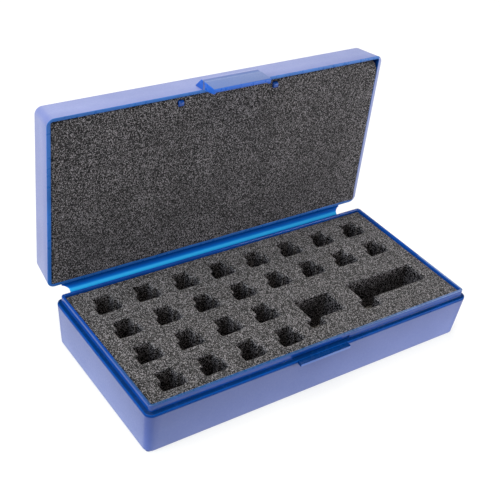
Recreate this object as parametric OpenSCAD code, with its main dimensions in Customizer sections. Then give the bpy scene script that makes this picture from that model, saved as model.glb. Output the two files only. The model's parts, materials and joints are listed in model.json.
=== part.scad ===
// Miniature carry case: a one-piece moulded case with film hinges, stored open, and its foam.
// Millimetres. X runs along the long side, Y points to the back, Z points up.
// The origin is the centre of the base's underside.
// The lid, strip and latch are drawn closed, and open_lid() and open_strip() put them in their
// stored pose, with the lid standing upright behind the base.

/* [Case] */
// width of the base's rim, left to right
case_w = 217; // [150:1:320]
// depth of the base's rim, front to back
case_d = 103.4; // [80:1:200]
// height of the base's ledge, where the lid's rim comes down
ledge_z = 27.1; // [18:0.1:60]
// how far the base's walls lean in from the ledge to the underside
base_draft = 1.8; // [0.5:0.1:4]
// rounding of the case's upright corners, seen from above
corner_r = 4.2; // [4:0.1:15]
// rounding between the base's walls and its underside
foot_r = 0.8; // [0.5:0.1:4]
// thickness of the base's floor
floor_t = 2.2; // [1.5:0.1:4]

/* [Lip] */
// height of the raised lip above the ledge
lip_h = 4.3; // [3:0.1:10]
// thickness of the lip
lip_t = 1.5; // [1:0.1:3]
// half of the lip's outer width
lip_half_w = 106.1; // [70:0.1:160]
// half of the lip's outer depth
lip_half_d = 49.5; // [38:0.1:98]
// depth of the shallow recess in the lip behind the catch
recess_t = 0.7; // [0.3:0.1:1]
// half of the recess's width
recess_half_w = 19.2; // [10:0.1:40]

/* [Lid] */
// height of the lid, from its rim to its top panel
lid_h = 19.8; // [10:0.1:60]
// gap between the lid's rim and the base's ledge
rim_gap = 0.3; // [0.2:0.1:1]
// how far the lid overhangs the base on each short side
lid_overhang = 1.15; // [0:0.05:4]
// how far the lid overhangs the base on each long side
lid_overhang_d = 0.1; // [0:0.05:1]
// how far the lid's walls lean in from rim to panel
lid_draft = 1.6; // [0.5:0.1:4]
// rounding between the lid's walls and its panel
panel_r = 2.5; // [1:0.5:6]
// thickness of the lid's long walls
lid_wall = 1.9; // [1.2:0.1:4]
// thickness of the lid's short walls
lid_end_wall = 2.3; // [1.2:0.1:4]
// thickness of the lid's panel
panel_t = 2.2; // [1.5:0.1:4]

/* [Guide fingers] */
// distance of each guide finger from the latch's middle
finger_x = 31.2; // [25:0.1:60]
// width of a guide finger
finger_w = 3.2; // [2:0.1:6]
// depth of a guide finger, front to back
finger_d = 3.7; // [2:0.1:6]

/* [Hinge] */
// distance between the two film hinges
strip_w = 12; // [8:0.5:20]
// distance of the hinge lines behind the case's rim
hinge_out = 2.5; // [1.5:0.1:4]
// height of the base's hinge line
base_line_z = 20.1; // [10:0.1:40]
// half of the hinge rails' length
rail_half_w = 99.5; // [60:0.5:150]
// thickness of the hinge strip
strip_t = 1.6; // [1:0.1:3]
// radius of the hinge beads
bead_r = 1; // [0.6:0.1:2]
// radial play of every bead in its socket
bead_play = 0.06; // [0.02:0.01:0.1]

/* [Latch] */
// place of the latch's middle, left of the case's middle when negative
latch_x = -0.5; // [-40:0.5:40]
// half of the latch flap's width
flap_half_w = 18.6; // [10:0.1:40]
// length of the flap below the lid's rim
flap_h = 11.2; // [8:0.1:20]
// half of the catch's width
catch_half_w = 16.9; // [8:0.1:38]
// how far the catch stands out from the base's wall
catch_out = 2.65; // [1:0.05:4]

/* [Foam] */
// thickness of the uncut foam sheet under the pockets
sheet_t = 4.4; // [2:0.1:10]
// height of the cut foam's top
foam_top_z = 30.1; // [20:0.1:60]
// how far the lid's foam stands back from the lid's rim
pad_back = 4.3; // [3:0.1:10]

/* [Pockets] */
// left end of the first small pocket
pocket_x = -94.2; // [-140:0.1:0]
// front edge of the front row of pockets
pocket_y = -41.7; // [-90:0.1:0]
// distance between small pockets along a row
pocket_pitch = 24.79; // [15:0.01:40]
// distance between rows of pockets
row_pitch = 22.62; // [15:0.01:60]
// small pocket's foot, along and across the row
foot_size = [14.7, 6.8]; // [4:0.1:30]
// small pocket's body, along and across the row
body_size = [10.1, 13.8]; // [4:0.1:40]

/* [Part] */
// which sub-part to build

/* [Hidden] */
$fn = 48;
hull_fn = 32;
eps = 0.01;

half_w = case_w / 2;
half_d = case_d / 2;
lip_top = ledge_z + lip_h;
cavity_half_w = lip_half_w - lip_t;
cavity_half_d = lip_half_d - lip_t;
cavity_taper = 1;
cavity_r = corner_r - 2.5;

rim_z = ledge_z + rim_gap;
lid_half_w = half_w + lid_overhang;
lid_half_d = half_d + lid_overhang_d;
lid_top = rim_z + lid_h;
lid_in_w = lid_half_w - lid_end_wall;
lid_in_d = lid_half_d - lid_wall;
lid_straight = 5.5;
lid_in_taper = 1.2;
pad_z = rim_z + pad_back;
pad_step_z = rim_z + 5.6;
pad_step_w = 4;

hinge_y = half_d + hinge_out;
lid_line_z = base_line_z + strip_w;
open_lid_deg = -90;
open_strip_deg = -45;
open_line_y = hinge_y + strip_w * sin(-open_strip_deg);
open_line_z = base_line_z + strip_w * cos(open_strip_deg);
socket_r = bead_r + bead_play;
rail_root_y = half_d - 1.3;

latch_wall_y = -lid_half_d;
pivot_f = 0.2;
pivot_n = 4.6;
latch_bead_r = 0.8;
latch_socket_r = latch_bead_r + bead_play;
flap_rib_t = 1.3;
root_half_w = flap_half_w - 0.2;

foam_gap = 0.2;
foam_floor_z = floor_t + sheet_t;
small_rows = [8, 8, 4, 4];
// the wider pockets: the front-left corner and the size of each cut, the pocket's leg last
medium_cuts = [[[7.8, -29.7], [23.6, 16.9]], [[3.5, -35.9], [10.4, 8]]];
large_cuts = [[[45.7, -28.6], [49, 16]], [[42.1, -36.2], [11.9, 9]]];

base_col = [0.43, 0.47, 0.72];
lid_col = [0.62, 0.66, 0.86];
edge_col = [0.05, 0.25, 0.62];
foam_col = [0.38, 0.38, 0.40];
sheet_col = [0.14, 0.14, 0.15];
pad_col = [0.27, 0.27, 0.29];

// A rectangle with round corners, given by its half sizes.
module rounded_rect(hx, hy, r) {
  square([2 * (hx - r), 2 * hy], center = true);
  square([2 * hx, 2 * (hy - r)], center = true);
  for (sx = [-1, 1], sy = [-1, 1]) translate([sx * (hx - r), sy * (hy - r)]) circle(r);
}

// An upright block with round corners, from z0 to z1.
module block(hx, hy, r, z0, z1) {
  translate([0, 0, z0]) linear_extrude(z1 - z0) rounded_rect(hx, hy, r);
}

// A block that leans in by the taper from its wide level to its narrow one.
module leaning_block(hx, hy, r, z_wide, z_narrow, taper) {
  hull() {
    block(hx, hy, r, z_wide - eps, z_wide + eps, $fn = hull_fn);
    block(hx - taper, hy - taper, r, z_narrow - eps, z_narrow + eps, $fn = hull_fn);
  }
}

// A profile drawn in Y and Z, made into a bar along X.
module bar(half_len, mid_x = 0) {
  translate([mid_x - half_len, 0, 0]) rotate([90, 0, 90]) linear_extrude(2 * half_len) children();
}

// The lid's stored pose: upright behind the base.
module open_lid() {
  translate([0, open_line_y, open_line_z]) rotate([open_lid_deg, 0, 0])
    translate([0, -hinge_y, -lid_line_z]) children();
}

// The strip's stored pose: half way open.
module open_strip() {
  translate([0, hinge_y, base_line_z]) rotate([open_strip_deg, 0, 0])
    translate([0, -hinge_y, -base_line_z]) children();
}

// The hinge rail's profile, up being the way the strip leaves it when the case is closed.
// The socket holds the bead from the side of the wall, and is open to the strip's whole travel.
module rail_profile() {
  near = 35;
  far = 60;
  outer = socket_r + 0.85;
  lip_y = socket_r * cos(near);
  lip_z = socket_r * sin(near);
  reach = hinge_y - rail_root_y;
  difference() {
    polygon([
      [0, 0],
      [-lip_y, lip_z],
      [-reach, lip_z],
      [-reach, -outer * sin(far) - 1.7],
      [-outer * cos(far), -outer * sin(far)]
    ]);
    circle(socket_r);
  }
}

// The catch on the base's front wall, with a sloping top and a flat face for the hook below.
module catch_profile() {
  tip_y = -half_d - catch_out;
  top_z = ledge_z - 0.3;
  bottom_z = ledge_z - 2;
  polygon([
    [-half_d + 1.5, top_z],
    [-half_d - 1.2, top_z],
    [tip_y + 0.45, top_z - 0.35],
    [tip_y, top_z - 0.85],
    [tip_y, bottom_z + 0.1],
    [tip_y + 0.1, bottom_z],
    [-half_d + 1.5, bottom_z]
  ]);
}

module base_shell() {
  foot_half_w = half_w - base_draft;
  foot_half_d = half_d - base_draft;
  color(base_col) {
    difference() {
      union() {
        hull() {
          block(foot_half_w - foot_r, foot_half_d - foot_r, corner_r - foot_r, 0, eps, $fn = hull_fn);
          block(foot_half_w - 0.3 * foot_r, foot_half_d - 0.3 * foot_r, corner_r, 0.3 * foot_r,
                0.3 * foot_r + eps, $fn = hull_fn);
          block(foot_half_w, foot_half_d, corner_r, foot_r, foot_r + eps, $fn = hull_fn);
          block(half_w, half_d, corner_r, ledge_z - 1, ledge_z - 0.8, $fn = hull_fn);
          block(half_w - 0.8, half_d - 0.8, corner_r - 0.8, ledge_z - eps, ledge_z, $fn = hull_fn);
        }
        block(lip_half_w, lip_half_d, corner_r - 2.1, ledge_z - 1, lip_top);
      }
      leaning_block(cavity_half_w, cavity_half_d, cavity_r, ledge_z, floor_t + eps, cavity_taper);
      block(cavity_half_w, cavity_half_d, cavity_r, ledge_z - eps, lip_top + 1);
      translate([latch_x - recess_half_w, -lip_half_d - 1, ledge_z])
        cube([2 * recess_half_w, 1 + recess_t, lip_h - 1.2]);
    }
    bar(rail_half_w) translate([hinge_y, base_line_z]) rail_profile();
    bar(catch_half_w, latch_x) catch_profile();
  }
}

// The strip's outline as seen from behind, wider along each film than in between.
module strip_outline() {
  neck_in = 1.6;
  waist = 3.7;
  waist_r = 3.5;
  plate_half = strip_w / 2 - neck_in;
  difference() {
    square([2 * rail_half_w, 2 * plate_half], center = true);
    for (s = [-1, 1]) translate([s * (rail_half_w + waist), 0])
      rounded_rect(2 * waist, plate_half - 0.3, waist_r);
  }
}

module hinge_strip() {
  neck_t = 0.8;
  color(edge_col) open_strip() {
    translate([0, hinge_y + strip_t / 2, (base_line_z + lid_line_z) / 2])
      rotate([90, 0, 0]) linear_extrude(strip_t) strip_outline();
    for (s = [-1, 1]) translate([0, hinge_y, (base_line_z + lid_line_z) / 2 + s * strip_w / 2]) {
      rotate([0, 90, 0]) cylinder(r = bead_r, h = 2 * rail_half_w, center = true);
      translate([0, 0, -s]) cube([2 * rail_half_w, neck_t, 2], center = true);
    }
  }
}

// A point of the latch's profile, from its place below the rim and out from the lid's wall.
function latch_pt(below, out) = [latch_wall_y - out, rim_z - below];

// The thick root that joins the latch's film hinge to the lid's front wall.
module root_profile() {
  difference() {
    polygon([
      latch_pt(-7.8, -0.6),
      latch_pt(-2.6, 5.2),
      latch_pt(-1.9, 5.4),
      latch_pt(-1, 5.4),
      latch_pt(pivot_f, pivot_n),
      latch_pt(-0.2, pivot_n - 1),
      latch_pt(-0.2, -0.6)
    ]);
    translate(latch_pt(pivot_f, pivot_n)) circle(latch_socket_r);
  }
}

// A guide finger: it hangs from the panel and the front wall, and reaches past the lip's inside.
module finger(x) {
  finger_out = lip_half_d - lip_t - 0.3;
  finger_end = rim_z - 0.4;
  joint_z = lip_top + 0.8;
  translate([x - finger_w / 2, -finger_out, finger_end])
    cube([finger_w, finger_d, lid_top - panel_t - finger_end + 0.5]);
  translate([x - finger_w / 2, -lid_in_d - 0.1, joint_z])
    cube([finger_w, 5, lid_top - panel_r - 1 - joint_z]);
}

module lid_shell() {
  color(lid_col) open_lid() {
    difference() {
      hull() {
        block(lid_half_w - 0.5, lid_half_d - 0.5, corner_r - 0.5, rim_z, rim_z + eps, $fn = hull_fn);
        block(lid_half_w, lid_half_d, corner_r, rim_z + 0.5, rim_z + 0.6, $fn = hull_fn);
        block(lid_half_w - lid_draft, lid_half_d - lid_draft, corner_r, lid_top - panel_r,
              lid_top - panel_r + eps, $fn = hull_fn);
        block(lid_half_w - lid_draft - 0.3 * panel_r, lid_half_d - lid_draft - 0.3 * panel_r, corner_r,
              lid_top - 0.3 * panel_r, lid_top - 0.3 * panel_r + eps, $fn = hull_fn);
        block(lid_half_w - lid_draft - panel_r, lid_half_d - lid_draft - panel_r, corner_r - 1,
              lid_top - eps, lid_top, $fn = hull_fn);
      }
      block(lid_in_w, lid_in_d, corner_r - 2, rim_z - 1, rim_z + lid_straight);
      leaning_block(lid_in_w, lid_in_d, corner_r - 2, rim_z + lid_straight - eps, lid_top - panel_t,
                    lid_in_taper);
    }
    for (s = [-1, 1]) finger(latch_x + s * finger_x);
    bar(rail_half_w) translate([hinge_y, lid_line_z]) mirror([0, 1]) rail_profile();
    bar(root_half_w, latch_x) root_profile();
  }
}

// The flap's plate, with the hook that snaps under the catch and a V-shaped notch at its film hinge.
module flap_profile() {
  plate_in = 3.7;
  plate_out = 5.4;
  polygon([
    latch_pt(pivot_f, pivot_n + 0.25),
    latch_pt(pivot_f + 0.6, pivot_n + 0.25),
    latch_pt(1.6, plate_out),
    latch_pt(flap_h - 0.4, plate_out),
    latch_pt(flap_h, plate_out - 0.4),
    latch_pt(flap_h, 3.4),
    latch_pt(flap_h - 0.4, 3.1),
    latch_pt(flap_h - 1.5, 3.2),
    latch_pt(flap_h - 2.2, plate_in),
    latch_pt(4.4, plate_in),
    latch_pt(4.2, 3),
    latch_pt(3.3, 3),
    latch_pt(3, 3.2),
    latch_pt(3, plate_in),
    latch_pt(1.2, plate_in),
    latch_pt(pivot_f + 0.6, pivot_n - 0.35),
    latch_pt(pivot_f, pivot_n - 0.35)
  ]);
  translate(latch_pt(pivot_f, pivot_n)) circle(latch_bead_r);
}

// The flap's side rib, which covers the end of the catch.
module flap_rib_profile() {
  polygon([
    latch_pt(1.3, 4.3),
    latch_pt(1.6, 5.4),
    latch_pt(flap_h - 0.4, 5.4),
    latch_pt(flap_h, 5),
    latch_pt(flap_h, 2.4),
    latch_pt(flap_h - 1.1, 2.1),
    latch_pt(2.3, 0.7),
    latch_pt(1.9, 0.9),
    latch_pt(1.3, 3.6)
  ]);
}

module latch_flap() {
  rib_x = flap_half_w - flap_rib_t / 2;
  color(lid_col) open_lid() {
    bar(flap_half_w - eps, latch_x) flap_profile();
    for (s = [-1, 1]) bar(flap_rib_t / 2, latch_x + s * rib_x) flap_rib_profile();
  }
}

// One upright cut through the foam tray, from its front-left corner.
module cut(corner, size) {
  translate([corner.x, corner.y, foam_floor_z - 1]) cube([size.x, size.y, foam_top_z]);
}

// A pocket for a standing figure: a wide foot for the figure's base and a body behind it.
module small_pocket(corner) {
  set_back = 0.75;
  body_in = 2.5;
  lobe_x = body_in + body_size.x - 1;
  cut(corner, [lobe_x, foot_size.y]);
  cut(corner + [lobe_x - 1, set_back], [foot_size.x - lobe_x + 1, foot_size.y]);
  cut(corner + [body_in, 1], [body_size.x, body_size.y - 1]);
}

module tray_foam() {
  back_row_y = pocket_y + 3 * row_pitch;
  half_x = cavity_half_w - foam_gap;
  half_y = cavity_half_d - foam_gap;
  color(foam_col) difference() {
    union() {
      leaning_block(half_x, half_y, cavity_r, ledge_z, foam_floor_z + eps, cavity_taper - 0.1);
      block(half_x, half_y, cavity_r, ledge_z - eps, foam_top_z);
    }
    for (row = [0:3], i = [0:small_rows[row] - 1])
      small_pocket([pocket_x + i * pocket_pitch, back_row_y - row * row_pitch]);
    for (c = concat(medium_cuts, large_cuts)) cut(c[0], c[1]);
    // relief for the lid's guide fingers
    for (s = [-1, 1]) translate([latch_x + s * finger_x - finger_w / 2 - 0.8, -half_y - 1, foam_top_z - 3.5])
      cube([finger_w + 1.6, finger_d + 1.7, 5]);
  }
}

module foam_floor() {
  color(sheet_col) translate([0, 0, floor_t + 0.05])
    linear_extrude(sheet_t - 0.1) rounded_rect(cavity_half_w - cavity_taper - foam_gap,
                                         cavity_half_d - cavity_taper - foam_gap, cavity_r);
}

module lid_foam() {
  half_x = lid_in_w - lid_in_taper - foam_gap;
  half_y = lid_in_d - lid_in_taper - foam_gap;
  color(pad_col) open_lid() difference() {
    union() {
      block(half_x, half_y, corner_r - 2, pad_step_z, lid_top - panel_t - 0.05);
      block(half_x - pad_step_w + lid_in_taper, half_y - pad_step_w + lid_in_taper, corner_r - 2, pad_z,
            pad_step_z + 1);
    }
    for (s = [-1, 1])
      translate([latch_x + s * finger_x - finger_w / 2 - 0.3, -lid_in_d - 1, rim_z])
        cube([finger_w + 0.6, lid_in_d - lip_half_d + lip_t + finger_d + 1.6, lid_h]);
  }
}

base_shell();
hinge_strip();
lid_shell();
latch_flap();
tray_foam();
foam_floor();
lid_foam();
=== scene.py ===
"""Looks of the miniature carry case: camera, light, moulded plastic shells and cut foam.

Lengths named here are in millimetres, as in part.scad, and become metres when a mesh is made.
The shells are drawn closed and then turned into their stored pose, with the lid upright."""

import json
import math

import bmesh
import bpy
from mathutils import Matrix, Vector, geometry, noise


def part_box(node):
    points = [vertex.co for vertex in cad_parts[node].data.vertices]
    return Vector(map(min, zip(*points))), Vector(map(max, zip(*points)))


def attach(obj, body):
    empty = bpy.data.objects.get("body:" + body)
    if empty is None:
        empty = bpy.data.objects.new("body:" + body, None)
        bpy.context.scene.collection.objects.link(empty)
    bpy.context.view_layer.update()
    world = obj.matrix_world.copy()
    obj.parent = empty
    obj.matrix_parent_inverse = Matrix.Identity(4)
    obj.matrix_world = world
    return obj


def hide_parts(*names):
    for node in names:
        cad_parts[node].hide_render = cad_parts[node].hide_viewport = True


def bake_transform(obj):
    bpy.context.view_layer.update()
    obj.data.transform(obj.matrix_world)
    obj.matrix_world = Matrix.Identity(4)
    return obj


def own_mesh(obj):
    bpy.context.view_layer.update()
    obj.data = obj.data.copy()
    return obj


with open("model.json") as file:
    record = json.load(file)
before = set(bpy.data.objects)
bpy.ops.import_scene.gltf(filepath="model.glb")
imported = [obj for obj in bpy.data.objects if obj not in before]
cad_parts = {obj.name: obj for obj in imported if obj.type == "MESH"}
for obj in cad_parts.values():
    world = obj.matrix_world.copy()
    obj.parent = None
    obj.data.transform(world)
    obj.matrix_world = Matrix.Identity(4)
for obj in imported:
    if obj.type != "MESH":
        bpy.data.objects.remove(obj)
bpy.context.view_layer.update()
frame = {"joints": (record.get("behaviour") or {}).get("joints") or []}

MM = 0.001
noise.seed_set(7)  # the foam's uneven cuts come out the same each run


def box_mm(node):
    """A CAD node's lowest and highest corners at rest, in millimetres."""
    low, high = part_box(node)
    return Vector(low) / MM, Vector(high) / MM


def joint_mm(name):
    """A joint's place at rest, in millimetres."""
    joint = next(j for j in frame["joints"] if j["name"] == name)
    return Vector(joint["pos_m"]) / MM


# ---------------------------------------------------------------- sizes

BASE_HI = box_mm("base_shell")[1]
LID_HI = box_mm("lid_shell")[1]
TRAY_LO, TRAY_HI = box_mm("tray_foam")
BASE_LINE = joint_mm("strip_hinge")
LID_LINE = joint_mm("lid_hinge")
LATCH_LINE = joint_mm("latch_hinge")

HALF_W = BASE_HI.x
HALF_D = 51.7
CORNER = 4.2
LIP_TOP = BASE_HI.z
LEDGE = LIP_TOP - 4.3
DRAFT = 1.8
LIP_IN = 2.3
LIP_T = 1.5
FLOOR_T = 2.2
LATCH_X = LATCH_LINE.x

STRIP_W = (LID_LINE - BASE_LINE).length
STRIP_T = 1.6
NECK = 1.7
RAIL_HALF = 99.5
CLOSED_LID_LINE = Vector((0, BASE_LINE.y, BASE_LINE.z + STRIP_W))

LID_HALF_W = LID_HI.x
LID_HALF_D = HALF_D + 0.1
RIM = LEDGE + 0.3
LID_TOP = RIM + 19.8
LID_DRAFT = 1.6
LID_WALL = 1.9
LID_END_WALL = 2.3
PANEL_T = 2.2

FOAM_TOP = TRAY_HI.z
FOAM_FLOOR = TRAY_LO.z

LATCH_HALF = 18.6
CATCH_HALF = 16.9
FINGER_OFF = 31.2

OPEN_LID = (
    Matrix.Translation(LID_LINE)
    @ Matrix.Rotation(math.radians(-90), 4, "X")
    @ Matrix.Translation(-CLOSED_LID_LINE)
)
OPEN_STRIP = (
    Matrix.Translation(BASE_LINE)
    @ Matrix.Rotation(math.radians(-45), 4, "X")
    @ Matrix.Translation(-BASE_LINE)
)
STILL = Matrix.Identity(4)


# ---------------------------------------------------------------- node helpers


def new_material(name):
    """A material with its nodes, and the shader node to set."""
    mat = bpy.data.materials.new(name)
    mat.use_nodes = True
    return mat, mat.node_tree.nodes["Principled BSDF"]


def node(mat, kind, **inputs):
    """A new node with some of its sockets set, where spaces in a name are underscores."""
    made = mat.node_tree.nodes.new(kind)
    for name, value in inputs.items():
        made.inputs[name.replace("_", " ")].default_value = value
    return made


def wire(mat, source, target):
    mat.node_tree.links.new(source, target)


def place(mat):
    """Coordinates on the piece, in metres."""
    return node(mat, "ShaderNodeTexCoord").outputs["Object"]


def speckle(mat, scale, detail=2.0, rough=0.5):
    """A noise over the piece, with scale in repeats per metre."""
    made = node(mat, "ShaderNodeTexNoise", Scale=scale, Detail=detail, Roughness=rough)
    wire(mat, place(mat), made.inputs["Vector"])
    return made.outputs["Fac"]


def ramp(mat, value, stops):
    """Colours along a value, as (place, colour) stops."""
    made = node(mat, "ShaderNodeValToRGB")
    wire(mat, value, made.inputs["Fac"])
    elements = made.color_ramp.elements
    while len(elements) < len(stops):
        elements.new(0.5)
    for element, (where, colour) in zip(elements, stops):
        element.position = where
        element.color = (*colour, 1)
    return made.outputs["Color"]


def spread(mat, value, low, high, to_low, to_high):
    """Maps a value's range to another one."""
    made = node(mat, "ShaderNodeMapRange", From_Min=low, From_Max=high, To_Min=to_low, To_Max=to_high)
    wire(mat, value, made.inputs["Value"])
    return made.outputs["Result"]


def bump(mat, value, depth_mm, strength):
    """A bump of that depth, in millimetres."""
    made = node(mat, "ShaderNodeBump", Strength=strength, Distance=depth_mm * MM)
    wire(mat, value, made.inputs["Height"])
    return made.outputs["Normal"]


def along(mat, axis):
    """The place on the piece along X, Y or Z, in metres."""
    made = node(mat, "ShaderNodeSeparateXYZ")
    wire(mat, place(mat), made.inputs["Vector"])
    return made.outputs[axis]


def height(mat):
    """The height on the piece, in metres."""
    return along(mat, "Z")


def calculated(mat, operation, first, second):
    """A sum done on two values."""
    made = node(mat, "ShaderNodeMath")
    made.operation = operation
    wire(mat, first, made.inputs[0])
    wire(mat, second, made.inputs[1])
    return made.outputs["Value"]


def near_upright_edge(mat):
    """1 at the upright corners of the base, fading to 0 on its walls: the mask of its painted corner
    shade.
    """
    fade_start, fade_end = 8.5, 3.5
    sides = []
    for axis, half in (("X", HALF_W), ("Y", HALF_D)):
        value = along(mat, axis)
        away = calculated(mat, "MAXIMUM", value, spread(mat, value, -1.0, 1.0, 1.0, -1.0))
        sides.append(spread(mat, away, (half - fade_start) * MM, (half - fade_end) * MM, 0.0, 1.0))
    return calculated(mat, "MULTIPLY", *sides)


def multiplied(mat, first, second):
    """The product of two colours."""
    made = mat.node_tree.nodes.new("ShaderNodeMix")
    made.data_type = "RGBA"
    made.blend_type = "MULTIPLY"
    made.inputs["Factor"].default_value = 1.0
    wire(mat, first, made.inputs["A"])
    wire(mat, second, made.inputs["B"])
    return made.outputs["Result"]


# ---------------------------------------------------------------- materials

# The first blue is the plastic's own. The second is a darker copy of it, painted shade, and the last two
# are lighter copies, painted light.
PIGMENT = (0.0025, 0.044, 0.250)
SHADED_PIGMENT = (0.0004, 0.021, 0.108)
LIT_PIGMENT = (0.014, 0.085, 0.400)
LIT_RIM_PIGMENT = (0.018, 0.105, 0.365)


def textured_plastic(name, dark, light, rough=0.55, bloom=0.5, light_shade_heights=None):
    """Blue polypropylene from a spark-eroded mould, with a fine pale bloom over the pigment.

    Its last argument gives two heights: the base's walls get painted light, paler, at the low one
    and painted shade, deeper, at the high one, and painted shade makes their upright corners deeper still."""
    mat, shader = new_material(name)
    mottle = speckle(mat, 26, 4.0, 0.6)
    colour = ramp(mat, mottle, [(0.30, dark), (0.72, light)])
    if light_shade_heights:
        low, high = light_shade_heights
        # Painted light pales the walls towards their foot, and painted shade deepens them towards their
        # top and at the upright corners.
        level = spread(mat, height(mat), low * MM, high * MM, 0.0, 1.0)
        painted_height_shading = ramp(mat, level, [(0.0, (1.55, 1.48, 1.30)), (1.0, (0.72, 0.78, 0.84))])
        corners = ramp(mat, near_upright_edge(mat), [(0.0, (1, 1, 1)), (1.0, (0.36, 0.62, 0.92))])
        colour = multiplied(mat, multiplied(mat, colour, painted_height_shading), corners)
    wire(mat, colour, shader.inputs["Base Color"])
    patchy = spread(mat, speckle(mat, 900), 0.3, 0.7, rough - 0.06, rough + 0.08)
    wire(mat, patchy, shader.inputs["Roughness"])
    wire(mat, bump(mat, speckle(mat, 2600, 3.0, 0.7), 0.035, 0.5), shader.inputs["Normal"])
    shader.inputs["Specular IOR Level"].default_value = 0.45
    shader.inputs["Sheen Weight"].default_value = bloom
    shader.inputs["Sheen Roughness"].default_value = 0.45
    shader.inputs["Sheen Tint"].default_value = (0.92, 0.90, 1.0, 1)
    return mat


def polished_plastic(name, colour, rough=0.12, gloss=0.5, glow=0.0, lit_right_end=None):
    """Blue polypropylene from a polished part of the mould, with faint flow marks.

    Its last argument holds painted light towards the case's right end, as stops from 0 at the left
    to 1. Glow is painted light that the surface gives off itself."""
    mat, shader = new_material(name)
    flow = speckle(mat, 45, 3.0, 0.55)
    deep = tuple(0.82 * c for c in colour)
    pale = tuple(1.18 * c for c in colour)
    shade = ramp(mat, flow, [(0.3, deep), (0.7, pale)])
    # Painted light, paler towards the case's right end.
    if lit_right_end:
        across = spread(mat, along(mat, "X"), -HALF_W * MM, HALF_W * MM, 0.0, 1.0)
        shade = multiplied(mat, shade, ramp(mat, across, [(0.40, (1, 1, 1)), *lit_right_end]))
    wire(mat, shade, shader.inputs["Base Color"])
    patchy = spread(mat, speckle(mat, 350, 3.0), 0.3, 0.7, rough * 0.7, rough * 1.6)
    wire(mat, patchy, shader.inputs["Roughness"])
    wire(mat, bump(mat, speckle(mat, 160), 0.02, 0.35), shader.inputs["Normal"])
    shader.inputs["Specular IOR Level"].default_value = gloss
    shader.inputs["Emission Color"].default_value = (*colour, 1)
    shader.inputs["Emission Strength"].default_value = glow
    return mat


def strip_plastic():
    """The strip has a painted cyan glow across its middle: a lighter colour and an emission standing in
    for light coming through the thin plastic.
    """
    mat, shader = new_material("strip_glow")
    glow = ramp(
        mat,
        spread(mat, height(mat), BASE_LINE.z * MM, LID_LINE.z * MM, 0.0, 1.0),
        [
            (0.10, (0.001, 0.025, 0.140)),
            (0.44, (0.001, 0.040, 0.170)),
            (0.52, (0.008, 0.220, 0.560)),
            (0.59, (0.022, 0.360, 0.740)),
            (0.66, (0.028, 0.370, 0.800)),
            (0.72, (0.002, 0.190, 0.660)),
            (0.80, (0.001, 0.120, 0.580)),
            (0.90, (0.001, 0.080, 0.380)),
            (1.00, (0.001, 0.045, 0.250)),
        ],
    )
    wire(mat, glow, shader.inputs["Base Color"])
    wire(mat, glow, shader.inputs["Emission Color"])
    shader.inputs["Emission Strength"].default_value = 0.20
    wire(mat, bump(mat, speckle(mat, 130), 0.03, 0.3), shader.inputs["Normal"])
    shader.inputs["Roughness"].default_value = 0.2
    shader.inputs["Specular IOR Level"].default_value = 0.15
    return mat


def foam(name, pore, mid, strut, depth=None):
    """Open-cell foam: dark pores, a grey body and bright cell struts.

    Its last argument gives two heights, from a pocket wall's foot to its top, over which painted shade
    darkens the wall towards its foot. Such a wall has no gloss of its own."""
    mat, shader = new_material(name)
    cells = node(mat, "ShaderNodeTexVoronoi", Scale=2250, Randomness=1.0)
    wire(mat, place(mat), cells.inputs["Vector"])
    colour = ramp(mat, cells.outputs["Color"], [(0.28, pore), (0.55, mid), (0.80, strut)])
    grain = speckle(mat, 2200, 2.0, 0.7)
    shade = ramp(mat, grain, [(0.36, (0.62, 0.62, 0.62)), (0.64, (1.34, 1.34, 1.34))])
    colour = multiplied(mat, colour, shade)
    broad = ramp(mat, speckle(mat, 30), [(0.3, (0.9, 0.9, 0.9)), (0.7, (1.08, 1.08, 1.08))])
    colour = multiplied(mat, colour, broad)
    # Painted shade, darkest at the foot of a pocket's wall.
    if depth:
        low, high = depth
        level = spread(mat, height(mat), low * MM, high * MM, 0.0, 1.0)
        painted_pocket_shade = ramp(mat, level, [(0.0, (0.42, 0.41, 0.42)), (0.65, (0.50, 0.49, 0.50)), (1.0, (1, 1, 1))])
        colour = multiplied(mat, colour, painted_pocket_shade)
    wire(mat, colour, shader.inputs["Base Color"])
    wire(mat, bump(mat, grain, 0.5, 0.9), shader.inputs["Normal"])
    shader.inputs["Roughness"].default_value = 0.85
    shader.inputs["Specular IOR Level"].default_value = 0.0 if depth else 0.2
    shader.inputs["Sheen Weight"].default_value = 0.0 if depth else 0.05
    return mat


def floor_material():
    """A pale studio table that gives light back."""
    mat, shader = new_material("studio_floor")
    tone = ramp(mat, speckle(mat, 3), [(0.3, (0.24, 0.24, 0.24)), (0.7, (0.26, 0.26, 0.26))])
    wire(mat, tone, shader.inputs["Base Color"])
    shader.inputs["Roughness"].default_value = 0.9
    shader.inputs["Specular IOR Level"].default_value = 0.0
    shader.inputs["Emission Color"].default_value = (1, 1, 1, 1)
    shader.inputs["Emission Strength"].default_value = 0.70
    return mat


TEXTURED = textured_plastic("plastic_lid", (0.090, 0.119, 0.325), (0.128, 0.158, 0.380))
# The base's plastic is a darker copy of the lid's, painted shade.
SHADED_BASE_TEXTURE = textured_plastic(
    "plastic_base_painted_shade", (0.045, 0.078, 0.275), (0.066, 0.101, 0.320), 0.5, 0.4, light_shade_heights=(1, 26)
)
FLAP_TEXTURE = textured_plastic("plastic_flap", (0.027, 0.073, 0.250), (0.037, 0.087, 0.280), 0.5, 0.3)
# A pale copy of the lid's plastic for the rim's right end: painted highlight.
LIT_RIM_END = textured_plastic("plastic_painted_highlight_rim_end", (0.200, 0.240, 0.470), (0.250, 0.290, 0.530))
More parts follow.
